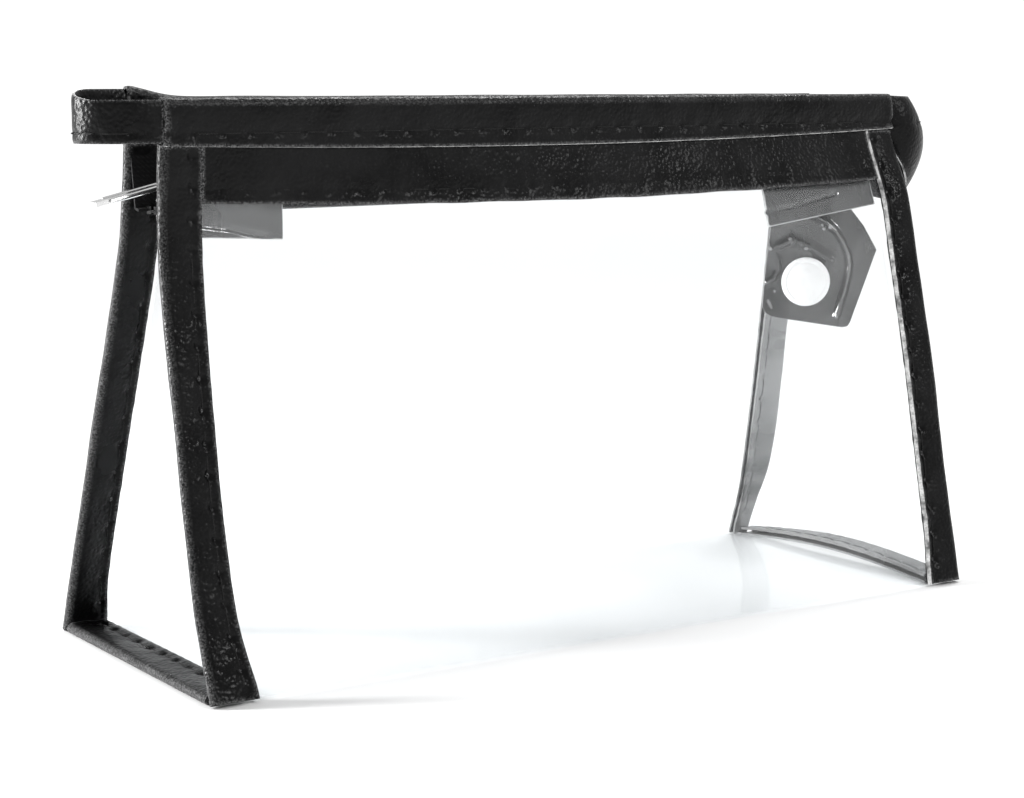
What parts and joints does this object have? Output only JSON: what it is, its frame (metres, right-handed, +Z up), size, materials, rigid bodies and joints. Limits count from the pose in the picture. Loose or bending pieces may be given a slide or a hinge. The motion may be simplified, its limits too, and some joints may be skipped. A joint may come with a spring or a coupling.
{
  "type": "makeup bag",
  "caption": "Clear zip makeup pouch with a triangular end section, black coated bindings and mouth trim, end loops and an inner tab with a press stud.",
  "frame": {"origin": "middle of the base, on the surface the bag stands on", "axes": "+X along the mouth towards the end with the inner tab, -Y to the front panel, +Z up"},
  "size_m": [0.2389, 0.0779, 0.1203],
  "materials": {
    "vinyl": "clear flexible film, glossy",
    "cover": "black coated fabric, fine grain, satin",
    "tape": "woven zip tape",
    "teeth": "moulded coil teeth",
    "steel": "plated, bright",
    "cap": "white moulded plastic"
  },
  "bodies": {
    "bag": {"front_panel": "vinyl", "back_panel": "vinyl", "base_panel": "vinyl", "end_panel_left": "vinyl", "end_panel_right": "vinyl", "front_left_binding": "cover", "back_left_binding": "cover", "base_left_binding": "cover", "front_right_binding": "cover", "back_right_binding": "cover", "base_right_binding": "cover", "front_band": "cover", "back_band": "cover", "front_mouth_trim": "cover", "back_mouth_trim": "cover", "left_loop": "cover", "right_loop": "cover", "zip_tape_front": "tape", "zip_tape_back": "tape", "zip_teeth_front": "teeth", "zip_teeth_back": "teeth", "zip_top_stop_front": "steel", "zip_top_stop_back": "steel", "zip_bottom_stop": "steel", "zip_tail_left": "tape", "zip_tail_right": "tape"},
    "slider": {"zip_slider": "steel"},
    "pull": {"zip_pull": "steel", "zip_pull_tip": "steel"},
    "tab": {"inner_tab": "vinyl", "stud_cap": "cap", "stud_socket": "cap"}
  },
  "joints": [
    {"name": "slider_slide", "type": "slide", "parent": "bag", "child": "slider", "axis": [0.9977, 0.0685, 0], "range_m": [0, 0.187]},
    {"name": "pull_swing", "type": "hinge", "parent": "slider", "child": "pull", "pos_m": [-0.09607, -0.00903, 0.1028], "axis": [-0.0685, 0.9977, 0], "range_deg": [0, 165]},
    {"name": "tab_flex", "type": "hinge", "parent": "bag", "child": "tab", "pos_m": [0.0808, -0.0112, 0.0944], "axis": [0.866, -0.5, 0], "range_deg": [0, 14]}
  ]
}
